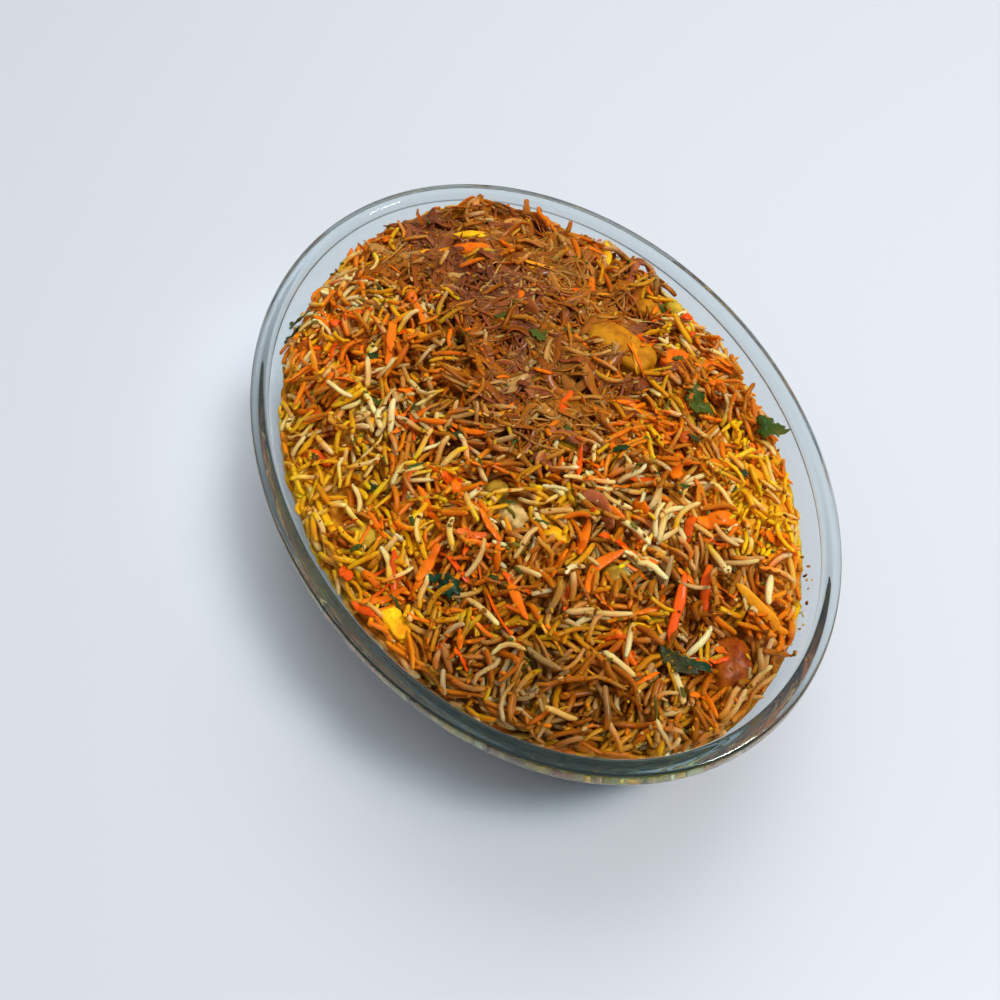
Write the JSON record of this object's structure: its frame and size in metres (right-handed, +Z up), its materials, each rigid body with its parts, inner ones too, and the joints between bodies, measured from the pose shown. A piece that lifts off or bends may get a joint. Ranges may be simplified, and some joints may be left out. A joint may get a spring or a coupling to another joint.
{
  "type": "vegetable biryani in an oval glass dish",
  "caption": "Spiced long-grain rice heaped in an oval clear glass serving dish, strewn with fried onions, carrot, peas, potato, peppers and herbs.",
  "frame": {"origin": "middle of the dish's flat base, on the surface it stands on", "axes": "+X along the dish's length towards its near end, +Y along its width, +Z up"},
  "size_m": [0.262, 0.184, 0.0681],
  "materials": {
    "dish_glass": "clear polished glass with a faint blue-green edge",
    "rice": "cooked long-grain rice, yellow, orange and cream, a little oily",
    "fried_onion": "crisp fried onion slices, oily brown",
    "potato": "boiled potato stained yellow, moist",
    "pea": "cooked pea, dull olive green",
    "cauliflower": "cooked cauliflower, knobbly",
    "carrot": "cooked carrot, moist",
    "yellow_pepper": "cooked yellow pepper, waxy",
    "onion_petal": "soft translucent onion, glossy",
    "tomato": "cooked tomato, wet",
    "cabbage": "cooked cabbage leaf, pale green",
    "coriander": "chopped coriander leaf, dark green"
  },
  "bodies": {
    "root": {"glass_dish": "dish_glass", "rice_heap": "rice", "fried_onions": "fried_onion", "potato_wedge": "potato", "potato_small": "potato", "pea_back": "pea", "pea_front": "pea", "cauliflower_floret": "cauliflower", "carrot_slice": "carrot", "carrot_piece": "carrot", "pepper_back": "yellow_pepper", "pepper_stub": "yellow_pepper", "pepper_wedge": "yellow_pepper", "pepper_curve": "yellow_pepper", "pepper_chunk": "yellow_pepper", "pepper_sliver": "yellow_pepper", "pepper_upright": "yellow_pepper", "onion_petal_far": "onion_petal", "onion_petal_top": "onion_petal", "onion_petal_left": "onion_petal", "onion_petal_right": "onion_petal", "onion_curl_right": "onion_petal", "onion_curl_back": "onion_petal", "tomato_wedge": "tomato", "tomato_left": "tomato", "tomato_bit": "tomato", "cabbage_left": "cabbage", "cabbage_right": "cabbage"}
  },
  "joints": []
}
